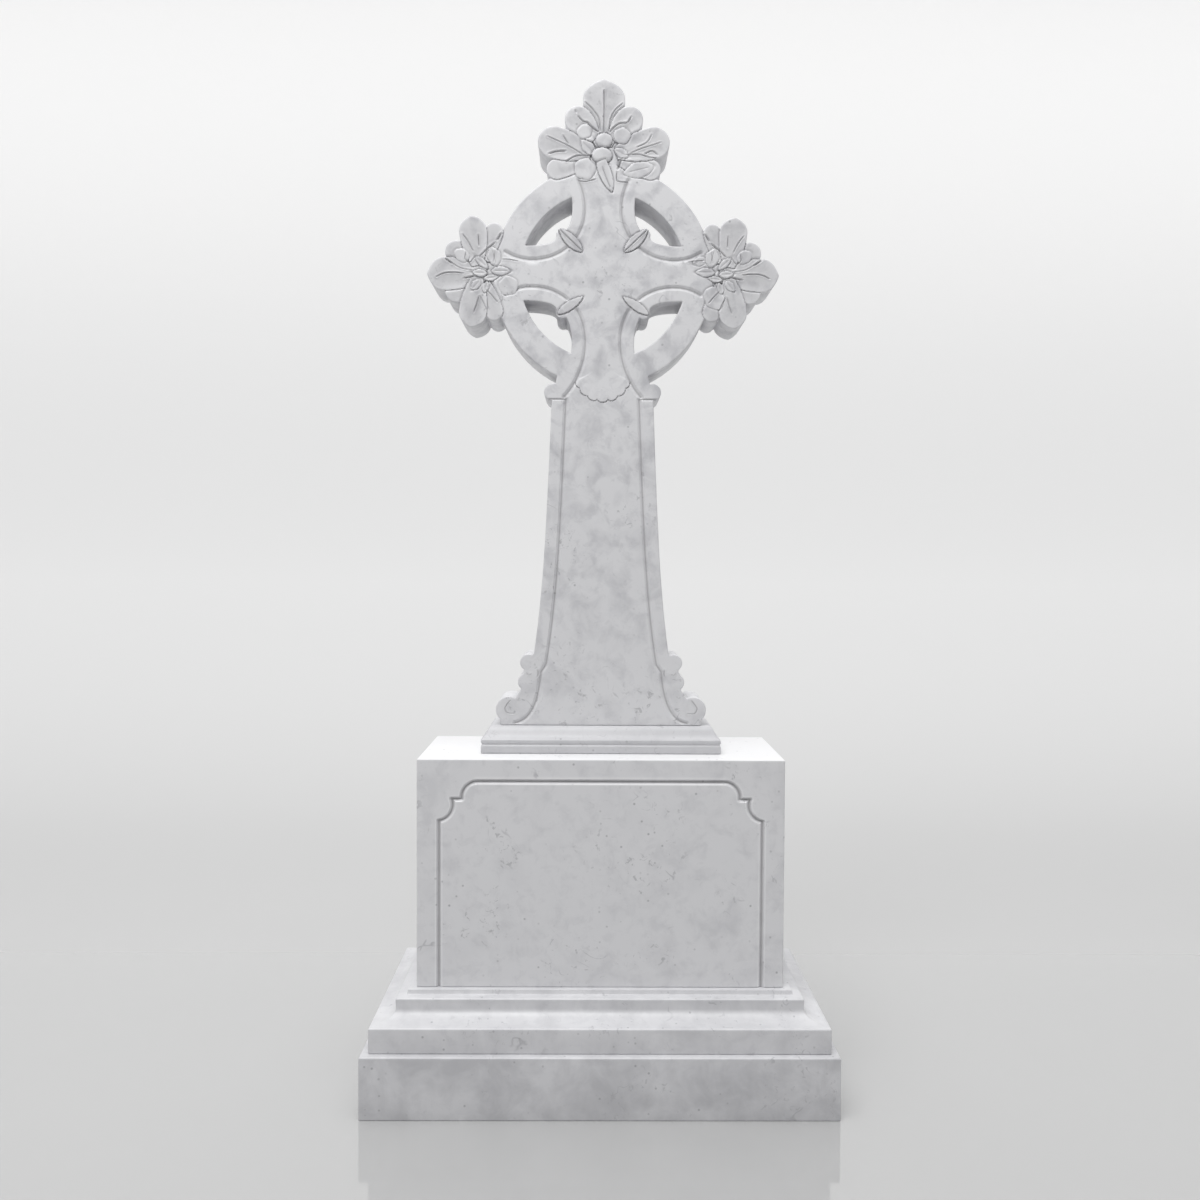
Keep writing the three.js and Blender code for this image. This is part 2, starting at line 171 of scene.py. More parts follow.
# Small leaves in the lobes' terms, then the middle lines of the border grooves in one quarter
# of the head and at the foot, each a start, two handles and an end.
UPPER_SPEAR = ((77, 80), (37, 42), 10, 0.5, 0.75)
LOWER_SPEAR = ((80, 67), (35, 37), 7.5, 0.42, 0.95)
DROP_LEAF = ((-5, 200), (15, 146), 11, 0.3, 0.9)
LEVEL_LINE = ((64, 45), (92, 21), (140, 16), (172, 37))
UPPER_LINE = ((46, 64), (24, 98), (32, 136), (44, 163))
LOWER_LINE = ((46, 64), (20, 107), (28, 173), (68, 217))
FOOT_LINE = ((107, 95), (111, 52), (120, 10), (153, 4))

# Cuts in the scrolls: points, width, depth. Then the scrolls: x, z, radius.
CURLS = [
    (((161, 45), (167, 38), (171, 30), (167, 22), (153, 21)), 2.8, 1.1),
    (((113, 99), (112, 92), (114, 86)), 3.5, 1.5),
    (((133, 94), (129, 90), (124, 92)), 2.38, 0.8),
]
SCROLLS = [(129.5, 112, 15), (132.5, 77.5, 15.8), (164.5, 28, 23)]
SCROLL_BACK = [(112, 140), (136, 108), (138, 96), (143, 63), (156, 44), (SPREAD, 14), (SPREAD, 0), (100, 0)]


def arc(x, z, radius, start, end, steps):
    """Points of a circular arc between two angles in degrees."""
    turn = np.radians(np.linspace(start, end, steps + 1))
    return np.column_stack([x + radius * np.cos(turn), z + radius * np.sin(turn)])


def bent(points, steps=24):
    """A cubic curve from a start, two handles and an end."""
    p0, p1, p2, p3 = (np.array(p, float) for p in points)
    t = np.linspace(0, 1, steps + 1)[:, None]
    return (1 - t) ** 3 * p0 + 3 * t * (1 - t) ** 2 * p1 + 3 * t * t * (1 - t) * p2 + t**3 * p3


def mirrored(points):
    """The same points on the other side of the middle: x changes sign."""
    return np.array(points, float) * (-1, 1)


def shaft_half(z):
    """Half the shaft's width: a straight taper plus a flare with the fourth power."""
    t = (SHAFT_TOP - z) / (SHAFT_TOP - SCROLL_TOP)
    return NECK + SLOPE * t + FLARE * t**4


def lobe_half(row, t, narrow=0.2):
    """Half width along a lobe: a parabola up to the widest part, then a blunt tip."""
    _, _, half, widest, blunt = row
    low = half * (1 - narrow * ((widest - t) / widest) ** 2)
    rest = np.clip((t - widest) / (1 - widest), 0, 1)
    return np.where(t < widest, low, half * (1 - rest ** (1.5 + blunt)) ** blunt)


def lobe_outline(row, narrow=0.2, steps=30):
    """Closed outline of a lobe, both sides of its axis, with more points near the tip."""
    base, tip = np.array(row[0], float), np.array(row[1], float)
    axis = tip - base
    side = np.array([-axis[1], axis[0]]) / np.hypot(*axis)
    t = np.sin(np.linspace(0, math.pi / 2, steps))
    w = lobe_half(row, t, narrow)
    left = base + t[:, None] * axis + w[:, None] * side
    right = base + t[:, None] * axis - w[:, None] * side
    return np.vstack([right, left[::-1][1:]])


def opening_outline(rise):
    """One opening in the quarter up and right: ring arc, arm edges and the cusp."""
    level = LEVEL_ARM + rise
    upper = math.degrees(math.acos(UPRIGHT / RING_IN))
    lower = math.degrees(math.asin(level / RING_IN))
    ring = arc(0, 0, RING_IN, lower, upper, 28)
    nose = arc(CUSP[0], CUSP[1] + rise, CUSP[2], 125, -20, 14)
    inner = bent((ring[-1], (UPRIGHT - 2, 118), (UPRIGHT - 2, 94), nose[0]))
    outer = bent((nose[-1], (84, level + 4), (108, level + 1), ring[0]))
    return np.vstack([ring[:-1], inner[:-1], nose[:-1], outer[:-1]])


def polygon_distance(x, z, outline, reach=14.0):
    """Distance to a closed outline, negative inside; far points get a lower bound."""
    low, high = outline.min(axis=0), outline.max(axis=0)
    dx = np.maximum(np.maximum(low[0] - x, x - high[0]), 0)
    dz = np.maximum(np.maximum(low[1] - z, z - high[1]), 0)
    far = np.hypot(dx, dz)
    result = far.copy() + 1e-6
    near = far < reach
    px, pz = x[near], z[near]
    best = np.full(px.shape, 1e12)
    odd = np.zeros(px.shape, bool)
    following = np.roll(outline, -1, axis=0)
    for (ax, az), (bx, bz) in zip(outline, following):
        ex, ez = bx - ax, bz - az
        length = ex * ex + ez * ez
        if length < 1e-12:
            continue
        t = np.clip(((px - ax) * ex + (pz - az) * ez) / length, 0, 1)
        best = np.minimum(best, (px - ax - ex * t) ** 2 + (pz - az - ez * t) ** 2)
        if az != bz:
            odd ^= ((az > pz) != (bz > pz)) & (px < (bx - ax) * (pz - az) / (bz - az) + ax)
    result[near] = np.where(odd, -1, 1) * np.sqrt(best)
    return result


def line_distance(x, z, line, reach=14.0):
    """Distance to an open line of points."""
    low, high = line.min(axis=0) - reach, line.max(axis=0) + reach
    near = (x > low[0]) & (x < high[0]) & (z > low[1]) & (z < high[1])
    px, pz = x[near], z[near]
    best = np.full(px.shape, 1e12)
    for (ax, az), (bx, bz) in zip(line[:-1], line[1:]):
        ex, ez = bx - ax, bz - az
        t = np.clip(((px - ax) * ex + (pz - az) * ez) / max(ex * ex + ez * ez, 1e-12), 0, 1)
        best = np.minimum(best, (px - ax - ex * t) ** 2 + (pz - az - ez * t) ** 2)
    result = np.full(x.shape, 1e3)
    result[near] = np.sqrt(best)
    return result


def turned(row, across, up=1, lift=0):
    """A lobe mirrored left for right or upside down, and raised."""
    (ax, az), (bx, bz), *rest = row
    return ((across * ax, up * az + lift), (across * bx, up * bz + lift), *rest)


CROWNS = [TOP_LOBES[0]] + [turned(row, side) for row in TOP_LOBES[1:] for side in (1, -1)]
for one in SIDE_LOBES:
    for side in (1, -1):
        for up in (1, -1) if one is not SIDE_LOBES[2] else (1,):
            CROWNS.append(turned(one, side, up, CROWN_RISE))
LOBE_LINES = [lobe_outline(row) for row in CROWNS]
LEAF_LINES = [lobe_outline(row, 0.62) for row in CROWNS]
OPENINGS = [opening_outline(RISE), opening_outline(-RISE)]


def body_outlines():
    """Closed outlines below the head: shaft, shoulders and scrolls, from the foot up."""
    z = np.concatenate([np.linspace(60, SHAFT_TOP, 60), [SHOULDER_TOP[1]]])
    w = np.append(shaft_half(z[:-1]), SHOULDER_TOP[0])
    right = np.vstack([[(110, 0)], np.column_stack([w, z])])
    parts = [np.vstack([right, mirrored(right)[::-1]])]
    for shape in [
        arc(*SHOULDER, 0, 355, 60),
        np.array(SCROLL_BACK, float),
        *[arc(*row, 0, 355, 60) for row in SCROLLS],
    ]:
        parts += [shape, mirrored(shape)]
    return parts


BODY_LINES = body_outlines()


def silhouette(x, z):
    """Distance to the cross's outline, negative in the stone; z from its foot. A disc less the
    ring's openings, joined with leaves, shaft and scrolls by the smallest distance."""
    up = z - HEAD
    disc = np.hypot(x, up) - RING_OUT
    upper = polygon_distance(np.abs(x), up, OPENINGS[0])
    lower = polygon_distance(np.abs(x), -up, OPENINGS[1])
    whole = np.maximum(disc, -np.minimum(upper, lower))
    for cx, cz, radius in HEARTS:
        whole = np.minimum(whole, np.hypot(x - cx, up - cz) - radius)
    for line in LOBE_LINES:
        whole = np.minimum(whole, polygon_distance(x, up, line))
    for line in BODY_LINES:
        whole = np.minimum(whole, polygon_distance(x, z, line))
    return whole


def smooth_step(value, low, high):
    """0 at low, 1 at high and level at both: 3t squared less 2t cubed."""
    t = np.clip((value - low) / (high - low), 0, 1)
    return t * t * (3 - 2 * t)


def channel(distance, width=GROOVE, sunk=SUNK):
    """Depth of a groove that falls with the distance from its middle, raised to 0.8."""
    return sunk * np.clip(1 - 2 * distance / width, 0, 1) ** 0.8


def groove_shade_and_highlight(distance, width=GROOVE, middle=0.9, lips=0.6):
    """Painted shade and highlight across a groove: one bell curve darkens its middle as painted shade, two
    lighten its lips as painted highlight.
    """
    lip = lips * np.exp(-(((distance - 0.4 * width) / 1.1) ** 2))
    return middle * np.exp(-((distance / (0.15 * width)) ** 2)) - lip


def bend(points, steps=8):
    """A smooth line through all the points (Catmull-Rom)."""
    p = np.array(points, float)
    p = np.vstack([2 * p[0] - p[1], p, 2 * p[-1] - p[-2]])
    t = np.linspace(0, 1, steps + 1)[:-1, None]
    parts = []
    for a, b, c, d in zip(p[:-3], p[1:-2], p[2:-1], p[3:]):
        curve = 2 * b + (c - a) * t + (2 * a - 5 * b + 4 * c - d) * t**2
        parts.append((curve + (3 * b - a - 3 * c + d) * t**3) / 2)
    return np.vstack(parts + [p[-2:-1]])


def lay_leaf(state, x, z, row, outline, up, cup=0.8, fan=0.35):
    """Lays a leaf over what is there: a flat rim, a middle that sinks by an exponential of the
    distance to the edge, and fine ribs, a cosine of the angle at its base. A bell curve of
    the distance cuts back the lower leaf beside it."""
    height, dark = state
    edge = polygon_distance(x, z, outline)
    base, tip = np.array(row[0], float), np.array(row[1], float)
    axis = tip - base
    length = np.hypot(*axis)
    along = ((x - base[0]) * axis[0] + (z - base[1]) * axis[1]) / length
    off = (-(x - base[0]) * axis[1] + (z - base[1]) * axis[0]) / length
    turn = np.arctan2(off, along + 0.25 * length)
    inner = 1 - np.exp(np.minimum(edge, 0) / 6.0)
    face = up - 0.6 * np.exp(np.minimum(edge, 0) / 0.9) - cup * inner * smooth_step(along / length, 1.0, 0.3)
    face = face + fan * np.cos(turn * 15) * inner * smooth_step(along / length, 0.95, 0.6)
    inside = edge < 0
    gap = np.maximum(edge, 0)
    height = np.where(inside, face, height - 2.4 * np.exp(-((gap / 1.9) ** 2)))
    # The leaf's middle is painted a deeper grey, and a pale line just inside its edge is a painted
    # highlight.
    tone = 0.36 * inner - 0.2 * np.exp(-(((edge + 1.2) / 1.0) ** 2))
    # Painted shade: a dark line on the lower leaf beside this leaf's edge.
    dark = np.where(inside, tone, np.maximum(dark, 0.95 * np.exp(-((gap / 1.3) ** 2))))
    return height, dark


def lay_petal(state, x, z, row):
    """A petal or berry: a dome over an ellipse, the root of 1 less the reach to the sixth, with
    a hollow or ribbed middle. A bell curve cuts back the ground round it."""
    height, dark = state
    bx, bz, long, wide, turn, lift = row
    c, s = math.cos(math.radians(turn)), math.sin(math.radians(turn))
    u, v = (x - bx) * c + (z - bz) * s, (z - bz) * c - (x - bx) * s
    pointed = 0.0 if lift > 4 or long < 1.3 * wide else 0.4
    leafy = lift < 4 and long > 1.3 * wide
    ripple = 0.04 * np.cos(5 * np.arctan2(v, u) + 0.1 * (bx + bz)) if lift < 3 else 0.0
    r = np.hypot(u / long, v / (wide * (1 - pointed * np.minimum((u / long) ** 2, 1)))) + ripple
    gap = (r - 1) * min(long, wide)
    firm = min(1, 0.35 + 0.25 * lift)
    dome = -0.8 + (0.55 * lift + 0.8) * np.clip(1 - r**6, 0, 1) ** 0.5
    if lift < 3:
        dome = dome - 1.0 * firm * np.clip(1 - r * r, 0, 1)
    # The petal is painted a little deeper in tone, and a pale line just inside its edge is a painted
    # highlight.
    tone = 0.15 - 0.3 * np.exp(-(((gap + 1.2) / 1.0) ** 2))
    if leafy:
        rib = np.exp(-((v / 0.9) ** 2)) * smooth_step(r, 0.8, 0.55)
        dome = dome - 0.7 * rib
        # Painted shade along the sunk rib.
        tone = tone + 0.5 * rib
    gap = np.maximum(gap, 0)
    height = np.where(r < 1, dome, height - 2.0 * firm * np.exp(-((gap / 1.7) ** 2)))
    # Painted shade: a dark ring on the cut-back ground round the petal.
    dark = np.where(r < 1, tone, np.maximum(dark, 0.85 * firm * np.exp(-((gap / 1.3) ** 2))))
    return height, dark


def cut_line(state, x, z, points, width, depth):
    """A cut whose depth falls evenly with the distance and fades out at both ends."""
    height, dark = state
    line = bend(points)
    distance = line_distance(x, z, line, width)
    ends = np.minimum(
        np.hypot(x - line[0, 0], z - line[0, 1]), np.hypot(x - line[-1, 0], z - line[-1, 1])
    )
    width = 0.8 * width
    part = np.clip(1 - 2 * distance / width, 0, 1) * smooth_step(ends, -3.0, 4.5)
    lip = 0.5 * np.exp(-(((distance - 0.8 * width) / 1.1) ** 2)) * (distance < 2 * width)
    # Painted shade darkens the cut, and a painted highlight lightens the raised lip beside it.
    tone = np.where(part > 0, np.minimum(part * 1.2, 1), -0.5 * lip)
    return height - depth * part + lip, np.where(np.abs(tone) > 0.02, np.maximum(dark, tone), dark)


def face_height(x, z):
    """Height of the carved front over the plain face, and its painted shade and highlight: dark in the
    hollows, pale on the lips.
    """
    up = z - HEAD
    ax = np.abs(x)
    lines = [
        (ax, up - RISE, bent(LEVEL_LINE)),
        (ax, RISE - up, bent(LEVEL_LINE)),
        (ax, up - RISE, bent(UPPER_LINE)),
        (ax, RISE - up, bent(LOWER_LINE)),
    ]
    edge = np.linspace(SHAFT_TOP + 2, 108, 40)
    shaft_line = np.vstack([np.column_stack([shaft_half(edge) - INSET, edge]), bent(FOOT_LINE)])
    lines.append((ax, z, shaft_line))
    near = np.full(x.shape, 1e3)
    for px, pz, line in lines:
        near = np.minimum(near, line_distance(px, pz, line))
    height = -channel(near)
    # Painted shade in the border grooves, painted highlight on their lips.
    dark = groove_shade_and_highlight(near)
    lip = np.array([(NECK + 4, SHAFT_TOP + 3), (NECK - INSET, SHAFT_TOP + 3)], float)
    thin = line_distance(ax, z, lip)
    height = np.minimum(height, -channel(thin, 4, 2.4))
    # Painted shade in the short level cut at the top of the shaft.
    dark = np.maximum(dark, 0.8 * np.exp(-((thin / 1.3) ** 2)))
    for points, width, depth in CURLS:
        height, dark = cut_line((height, dark), ax, z, points, width, depth)

    crown = np.full(x.shape, 1e3)
    for line in LOBE_LINES:
        crown = np.minimum(crown, polygon_distance(x, up, line))
    for cx, cz, radius in HEARTS:
        crown = np.minimum(crown, np.hypot(x - cx, up - cz) - radius)
    height = np.where((crown < 1) & (np.hypot(x, up) > RING_OUT), -2.0, height)
    state = (height, dark)
    for row, line in zip(CROWNS, LEAF_LINES):
        state = lay_leaf(state, x, up, row, line, 0.0)
    for row in TOP_PETALS:
        state = lay_petal(state, x, up, row)
    for side, own in ((-1, LEFT_PETALS), (1, RIGHT_PETALS)):
        for row in own + SIDE_PETALS:
            state = lay_petal(state, side * x, up, row)
        for points, width, depth in SIDE_CUTS:
            state = cut_line(state, side * x, up, points, width, depth)
    for points, width, depth in TOP_CUTS:
        state = cut_line(state, x, up, points, width, depth)
    state = lay_leaf(state, x, up, DROP_LEAF, lobe_outline(DROP_LEAF), 1.2, 0.6, 0.0)
    state = cut_line(state, x, up, ((-2, 190), (3, 174), (12, 153)), 3.0, 1.6)
    for side in (1, -1):
        high, low = turned(UPPER_SPEAR, side), turned(LOWER_SPEAR, side, -1)
        state = lay_leaf(state, x, up, high, lobe_outline(high, 0.8), 1.8, 0.6, 0.0)
        state = lay_leaf(state, x, up, low, lobe_outline(low, 0.8), 2.0, 0.2, 0.0)
        (fx, fz), (tx, tz) = high[0], high[1]
        fold = ((fx, fz), ((fx + tx) / 2, (fz + tz) / 2), (tx, tz))
        state = cut_line(state, x, up, fold, 3.6, 2.2)
    return carve_shell(state, x, z)


def carve_shell(state, x, z):
    """The hanging shell: seven small scallops fanned round a point above the shaft. Its edge
    lies at a radius that grows with the cosine of the angle, less a dip between scallops."""
    height, dark = state
    from_top = SHELL_TOP - z
    turn = np.arctan2(x, from_top)
    reach = np.hypot(x, from_top)
    scallop = np.abs(np.cos(turn * SHELL_FOLDS))
    edge = SHELL_RADIUS * (1 + 0.24 * np.cos(turn)) - 4.2 * (1 - scallop**0.7)
    within = np.abs(turn) < math.radians(SHELL_SPREAD)
    inside = (reach < edge) & within
    gap = np.abs(reach - edge) + 50.0 * ~within
    rib = 0.5 * scallop * smooth_step(reach, 34, 56)
    height = height + np.where(inside, (rib + 0.9) * smooth_step(reach, 10, 48), 0)
    line = np.exp(-((gap / 1.5) ** 2))
    # Painted shade in the sunk line round the shell.
    return height - 1.6 * line * (1 - inside), np.maximum(dark, 0.75 * line * (1 - inside))


def march(px, pz, value, snap, plain=None, block=6):
    """Corners and faces of the part of a grid where value is at most 0.

    px, pz and value are arrays of the grid's corners. Corners where snap is true lie on
    the line. Cells cut by the line become polygons with corners on it. A square block of
    cells whose corners are all plain becomes one polygon, which keeps only those corners
    on its rim that smaller cells beside it use.
    """
    rows, cols = px.shape
    inside = (value <= 0) | snap
    value = np.where(snap, 0.0, value)
    number = np.arange(rows * cols).reshape(rows, cols)
    corners = [inside[:-1, :-1], inside[:-1, 1:], inside[1:, 1:], inside[1:, :-1]]
    count = sum(c.astype(int) for c in corners)
    full = count == 4
    rims = []
    if plain is not None:
        calm = full & plain[:-1, :-1] & plain[:-1, 1:] & plain[1:, 1:] & plain[1:, :-1]
        for i in range(0, rows - 1 - block, block):
            for j in range(0, cols - 1 - block, block):
                if calm[i : i + block, j : j + block].all():
                    full[i : i + block, j : j + block] = False
                    part = number[i : i + block + 1, j : j + block + 1]
                    rim = [part[0, :-1], part[:-1, -1], part[-1, :0:-1], part[:0:-1, 0]]
                    rims.append(np.concatenate(rim).tolist())
    a, b = number[:-1, :-1], number[:-1, 1:]
    c, d = number[1:, 1:], number[1:, :-1]
    faces = np.column_stack([a[full], b[full], c[full], d[full]]).tolist()
    x, z, v = px.ravel().tolist(), pz.ravel().tolist(), value.ravel().tolist()
    held = inside.ravel().tolist()
    extra = {}

    def crossing(i, j):
        """The corner where the line crosses an edge, by the share of its two values."""
        if v[i] == 0.0:
            return i
        if v[j] == 0.0:
            return j
        key = (min(i, j), max(i, j))
        if key not in extra:
            t = v[i] / (v[i] - v[j])
            extra[key] = len(x)
            x.append(x[i] + (x[j] - x[i]) * t)
            z.append(z[i] + (z[j] - z[i]) * t)
        return extra[key]

    for i, j in zip(*np.nonzero((count > 0) & (count < 4))):
        ring = [number[i, j], number[i, j + 1], number[i + 1, j + 1], number[i + 1, j]]
        ring = [int(k) for k in ring]
        cut = []
        for k in range(4):
            here, there = ring[k], ring[(k + 1) % 4]
            if held[here]:
                cut.append(here)
            if held[here] != held[there]:
                cut.append(crossing(here, there) if held[here] else crossing(there, here))
        kept = [p for n, p in enumerate(cut) if p != cut[n - 1]]
        if len(set(kept)) == len(kept) and len(kept) > 2:
            faces.append(kept)
    small = {k for face in faces for k in face}
    for rim in rims:
        faces.append([k for n, k in enumerate(rim) if n % block == 0 or k in small])
    used = sorted({k for face in faces for k in face})
    renumber = {k: n for n, k in enumerate(used)}
    points = np.column_stack([np.array(x)[used], np.array(z)[used]])
    return points, [[renumber[k] for k in face] for face in faces]


def boundary_loops(faces):
    """Closed loops of corner numbers along the edges that only one face uses."""
    edges = {}
    for face in faces:
        for k, here in enumerate(face):
            edges[(face[k - 1], here)] = True
    after = {}
    for a, b in edges:
        if (b, a) not in edges:
            after.setdefault(a, []).append(b)
    loops = []
    while after:
        start = next(iter(after))
        loop = [start]
        here = start
        while True:
            choices = after[here]
            there = choices.pop()
            if not choices:
                del after[here]
            if there == start:
                break
            loop.append(there)
            here = there
        if len(loop) > 8:
            loops.append(loop)
    return loops


def resampled(loop, step):
    """A closed loop of points at even distances."""
    ring = np.vstack([loop, loop[:1]])
    length = np.concatenate([[0], np.cumsum(np.hypot(*np.diff(ring, axis=0).T))])
    at = np.linspace(0, length[-1], max(int(length[-1] / step), 8), endpoint=False)
    return np.column_stack([np.interp(at, length, ring[:, k]) for k in (0, 1)])


def outline_points():
    """Points every half millimetre along the cross's outline."""
    found = []
    zones = [
        (np.arange(-318, 318.1, GRID), np.arange(540, 1142, GRID)),
        (np.arange(-192, 192.1, GRID), np.arange(-3, 145, GRID)),
    ]
    for xs, zs in zones:
        gx, gz = np.meshgrid(xs, zs)
        value = silhouette(gx.ravel(), gz.ravel()).reshape(gx.shape)
        points, faces = march(gx, gz, value, np.zeros(gx.shape, bool))
        for loop in boundary_loops(faces):
            ring = resampled(points[loop], 0.5)
            keep = (ring[:, 1] > zs[0] + 1) & (ring[:, 1] < zs[-1] - 1)
            found.append(ring[keep])
    z = np.arange(141, 545, 0.5)
    side = np.column_stack([shaft_half(z), z])
    found += [side, mirrored(side)]
    return np.vstack(found)


def nearest_tree(points):
    """A search tree of flat points."""
    tree = kdtree.KDTree(len(points))
    for n, (x, z) in enumerate(points.tolist()):
        tree.insert((x, z, 0.0), n)
    tree.balance()
    return tree


def nearest(tree, points):
    """The tree's point closest to each of the points."""
    return np.array([tree.find((x, z, 0.0))[0][:2] for x, z in points.tolist()])


def cross_grid():
    """Grid corners: columns follow the shaft's flare, rows are fine where it is carved."""
    columns = np.arange(-264, 265) * GRID
    rows = np.concatenate(
        [np.linspace(-2, 142, 97), np.arange(148, 552, 6.0), np.arange(556, 1142, GRID)]
    )
    gx, gz = np.meshgrid(columns, rows)
    wide = np.maximum(shaft_half(np.maximum(gz, 0)) - NECK, 0)
    inner = 50.0
    side = np.abs(gx)
    moved = np.where(side < inner, side * (inner + wide) / inner, side + wide)
    gx = np.where(gz < SHAFT_TOP, np.sign(gx) * moved, gx)
    return gx, gz


def mesh_object(name, points, faces, node, sharp=32, hollow=None):
    """A piece in metres, shaded smooth except along hard edges, that stands for a node.
    The last argument gives each corner painted shade and highlight in the stone's colour: above 0 painted
    shade in a cut, below 0 a painted highlight on a lip."""
    mesh = bpy.data.meshes.new(name)
    mesh.from_pydata((np.asarray(points) * MM).tolist(), [], faces)
    values = np.zeros(len(points)) if hollow is None else np.asarray(hollow)
    tone = mesh.attributes.new("hollow", "FLOAT", "POINT")
    tone.data.foreach_set("value", values.astype(np.float32))
    mesh.validate()
    mesh.update()
    mesh.shade_smooth()
    mesh.set_sharp_from_angle(angle=math.radians(sharp))
    piece = bpy.data.objects.new(name, mesh)
    bpy.context.scene.collection.objects.link(piece)
    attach(piece, "root")
    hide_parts(node)
    return piece


def carved_cross(base_z):
    """The cross: a carved front over a grid, rounded edges, straight sides, plain back."""
    gx, gz = cross_grid()
    flat_x, flat_z = gx.ravel(), gz.ravel()
    rough = silhouette(flat_x, flat_z)
    tree = nearest_tree(outline_points())
    distance = rough.copy()
    close = np.nonzero(np.abs(rough) < 12)[0]
    at = np.column_stack([flat_x[close], flat_z[close]])
    line = nearest(tree, at)
    gap = at - line
    away = np.hypot(gap[:, 0], gap[:, 1])
    distance[close] = np.where(rough[close] < 0, -away, away)
    distance = np.maximum(distance, -flat_z)
    value = distance + EASE
    normal = np.zeros((len(flat_x), 2))
    normal[close] = gap / np.maximum(away, 1e-6)[:, None] * np.sign(rough[close])[:, None]
    below = -flat_z > rough
    normal[below] = (0, -1)
    far = np.full(len(flat_x), 100.0)
    far[close] = away
    snap = (np.abs(value) < 0.4) & (np.hypot(*normal.T) > 0.5) & (far > 0.3)
    flat_x = np.where(snap, flat_x - value * normal[:, 0], flat_x)
    flat_z = np.where(snap, flat_z - value * normal[:, 1], flat_z)
    shape = gx.shape
    height, dark = face_height(flat_x, flat_z)
    plain = (np.abs(height) < 0.02) & (np.abs(dark) < 0.02) & (value < -2)
    grids = [item.reshape(shape) for item in (flat_x, flat_z, value, snap, plain)]
    points, faces = march(*grids)
    height, dark = face_height(points[:, 0], points[:, 1])
    front = np.column_stack([points[:, 0], FRONT - height, points[:, 1]])
    corners = [front]
    total = len(front)
    back_loops = []
    for loop in boundary_loops(faces):
        ring = points[loop]
        out = nearest(tree, ring) - ring
        out = np.where((ring[:, 1] < 2.6)[:, None], np.column_stack([out[:, 0] * 0, -ring[:, 1]]), out)
        out /= np.maximum(np.hypot(*out.T), 1e-6)[:, None]
        for _ in range(2):
            out = np.roll(out, 1, axis=0) + 2 * out + np.roll(out, -1, axis=0)
            out /= np.maximum(np.hypot(*out.T), 1e-6)[:, None]
        count = len(loop)
        near_y = front[loop, 1]
        previous = loop
        for turn, from_front in ((40, True), (90, True), (90, False), (0, False)):
            reach = EASE * math.sin(math.radians(turn))
            drop = EASE * (1 - math.cos(math.radians(turn)))
            moved = ring + out * reach
            y = near_y + drop if from_front else np.full(count, BACK - drop)
            corners.append(np.column_stack([moved[:, 0], y, moved[:, 1]]))
            current = list(range(total, total + count))
            total += count
            faces += band(previous, current)
            previous = current
        back_loops.append((previous, ring))
    faces += back_faces(back_loops)
    corners = np.vstack(corners)
    corners[:, 2] = np.maximum(corners[:, 2], 0) + base_z
    # Painted shade and highlight on the carved front; the eased edges, sides and back get none.
    hollow = np.concatenate([dark, np.zeros(total - len(dark))])
    return mesh_object("ringed_cross_carved", corners, faces, "ringed_cross", 40, hollow)


def band(lower, upper):
    """Four-sided faces between two closed rings of corner numbers of the same length."""
    lower, upper = np.asarray(lower), np.asarray(upper)
    return np.column_stack([np.roll(lower, -1), lower, upper, np.roll(upper, -1)]).tolist()


def back_faces(back_loops):
    """Triangles of the plain back between the outer loop and the openings."""
    numbers = np.concatenate([loop for loop, _ in back_loops])
    flat = np.vstack([ring for _, ring in back_loops])
    edges = []
    start = 0
    for loop, _ in back_loops:
        count = len(loop)
        edges += [(start + k, start + (k + 1) % count) for k in range(count)]
        start += count
    verts = [Vector(p) for p in flat.tolist()]
    made, _, tris, origin, _, _ = geometry.delaunay_2d_cdt(verts, edges, [], 1, 1e-5)
    made = np.array([tuple(p) for p in made])
    tris = np.array(tris)
    middle = made[tris].mean(axis=1)
    kept = tris[silhouette(middle[:, 0], middle[:, 1]) < 0]
    first = [src[0] for src in origin]
    result = []
    for a, b, c in kept.tolist():
        face = [int(numbers[first[k]]) for k in (a, b, c)]
        ab, ac = made[b] - made[a], made[c] - made[a]
        if ab[0] * ac[1] - ab[1] * ac[0] > 0:
            face.reverse()
        result.append(face)
    return result


def rounded_profile(points, radius=1.6, steps=3):
    """A profile of inset and height with each corner eased by a small arc."""
    result = [points[0]]
    for before, here, after in zip(points[:-2], points[1:-1], points[2:]):
        here_v = np.array(here, float)
        u = np.array(before, float) - here_v
        w = np.array(after, float) - here_v
        lu, lw = np.hypot(*u), np.hypot(*w)
        angle = math.acos(np.clip(u @ w / (lu * lw), -1, 1))
        if angle > math.radians(155):
            result.append(tuple(here_v))
            continue
        r = min(radius, 0.4 * lu, 0.4 * lw)
        start, end = here_v + u / lu * r, here_v + w / lw * r
        for k in range(steps + 1):
            t = k / steps
            point = (1 - t) ** 2 * start + 2 * t * (1 - t) * here_v + t * t * end
            result.append(tuple(point))
    return result + [points[-1]]


